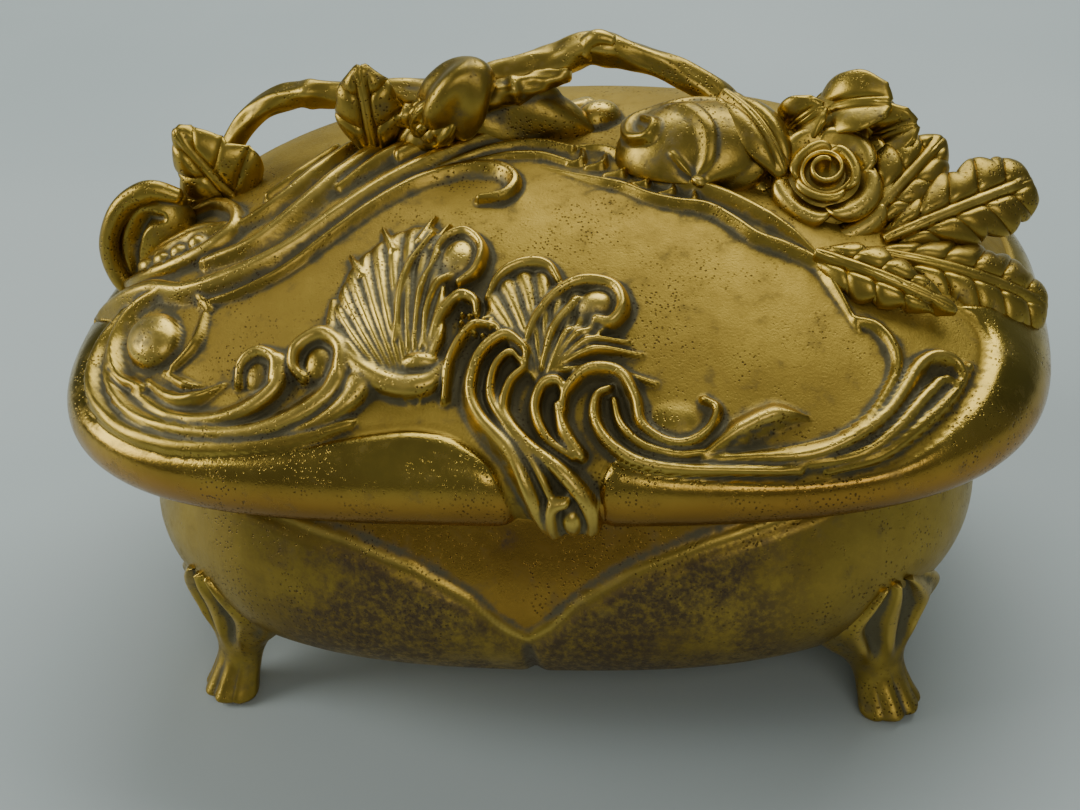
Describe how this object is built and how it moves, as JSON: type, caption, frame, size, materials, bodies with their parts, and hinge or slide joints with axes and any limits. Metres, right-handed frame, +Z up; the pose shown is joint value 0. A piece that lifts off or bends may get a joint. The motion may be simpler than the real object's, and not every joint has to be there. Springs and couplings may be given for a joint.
{
  "type": "trinket box",
  "caption": "Footed bombe jewel casket with a hinged domed lid, scrollwork relief, flower spray along the ridge and a padded satin lining.",
  "frame": {"origin": "centre of the footprint, on the surface the feet stand on", "axes": "+X to the right of the person who opens the box, +Y to the hinges at the back, +Z up"},
  "size_m": [0.1604, 0.1048, 0.097],
  "materials": {
    "gilt_metal": "old gilding over cast spelter, polished on the raised work, matt and stained in the hollows",
    "hinge_brass": "dull brushed sheet brass",
    "pin_steel": "drawn steel wire",
    "rivet_brass": "worn bright on the heads",
    "card": "grey-brown card",
    "satin": "old-gold satin over cotton wadding",
    "cord": "twisted two-strand cord"
  },
  "bodies": {
    "base": {"body_shell": "gilt_metal", "foot_front_left": "gilt_metal", "foot_front_right": "gilt_metal", "foot_rear_left": "gilt_metal", "foot_rear_right": "gilt_metal", "body_hinge_leaf_left": "hinge_brass", "body_hinge_leaf_right": "hinge_brass", "hinge_pin_left": "pin_steel", "hinge_pin_right": "pin_steel", "body_hinge_rivets": "rivet_brass", "floor_board": "card", "floor_pad": "satin", "wall_lining": "satin", "rim_cord": "cord"},
    "lid": {"lid_shell": "gilt_metal", "lid_hinge_leaf_left": "hinge_brass", "lid_hinge_leaf_right": "hinge_brass", "lid_hinge_rivets": "rivet_brass", "lid_board": "card", "lid_pad": "satin", "lid_cord": "cord", "branch": "gilt_metal", "rose": "gilt_metal", "rose_outer_petal": "gilt_metal", "bud": "gilt_metal", "curled_leaf": "gilt_metal", "ivy_leaf_left": "gilt_metal", "ivy_leaf_middle": "gilt_metal", "rose_leaf_upper": "gilt_metal", "rose_leaf_outer": "gilt_metal", "rose_leaf_lower": "gilt_metal", "rose_leaf_front": "gilt_metal"}
  },
  "joints": [
    {"name": "lid_hinge", "type": "hinge", "parent": "base", "child": "lid", "pos_m": [0, 0.0495, 0.047], "axis": [-1, 0, 0], "range_deg": [0, 100]}
  ]
}
